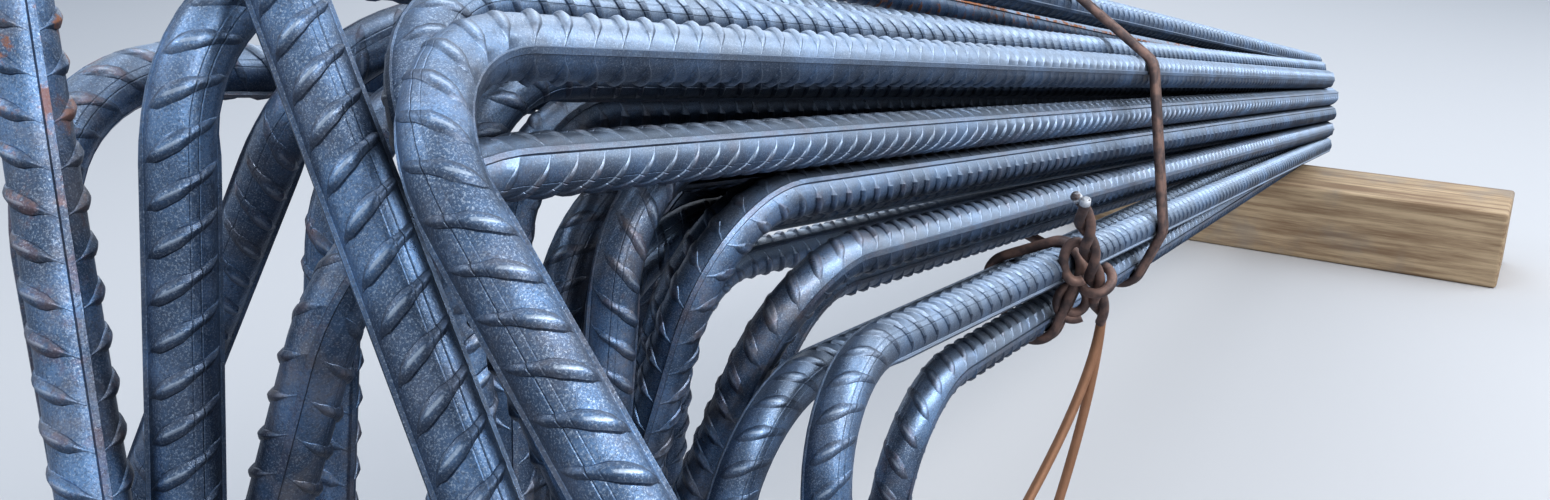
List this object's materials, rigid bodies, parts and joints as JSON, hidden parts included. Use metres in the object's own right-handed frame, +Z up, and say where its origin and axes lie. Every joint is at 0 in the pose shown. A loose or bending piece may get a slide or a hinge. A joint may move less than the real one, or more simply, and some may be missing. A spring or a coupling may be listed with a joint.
{
  "type": "bundle of bent steel reinforcing bars",
  "caption": "Ribbed steel reinforcing bars, each bent to an L, bundled with doubled tie wire and stood on their short legs with a sawn timber bearer under the far ends.",
  "frame": {"origin": "middle of the whole bundle's box, on the floor under it", "axes": "+X along the long legs, from the bends to the far ends; +Z up; +Y to the left when looking along +X"},
  "size_m": [1.3006, 0.4, 0.395],
  "materials": {
    "bar_steel": "dull blue-grey mill scale with dust and some rust",
    "tie_wire": "dull brown annealed wire",
    "timber": "rough sawn, weathered"
  },
  "bodies": {
    "root": {"bar_03": "bar_steel", "bar_04": "bar_steel", "bar_05": "bar_steel", "bar_06": "bar_steel", "bar_07": "bar_steel", "bar_08": "bar_steel", "bar_09": "bar_steel", "bar_10": "bar_steel", "bar_11": "bar_steel", "bar_12": "bar_steel", "bar_13": "bar_steel", "bar_14": "bar_steel", "bar_15": "bar_steel", "bar_16": "bar_steel", "bar_17": "bar_steel", "bar_18": "bar_steel", "bar_19": "bar_steel", "bar_20": "bar_steel", "bar_21": "bar_steel", "bar_22": "bar_steel", "bar_23": "bar_steel", "bar_24": "bar_steel", "bar_25": "bar_steel", "bar_26": "bar_steel", "bar_27": "bar_steel", "main_tie": "tie_wire", "near_tie": "tie_wire", "bearer": "timber"}
  },
  "joints": []
}
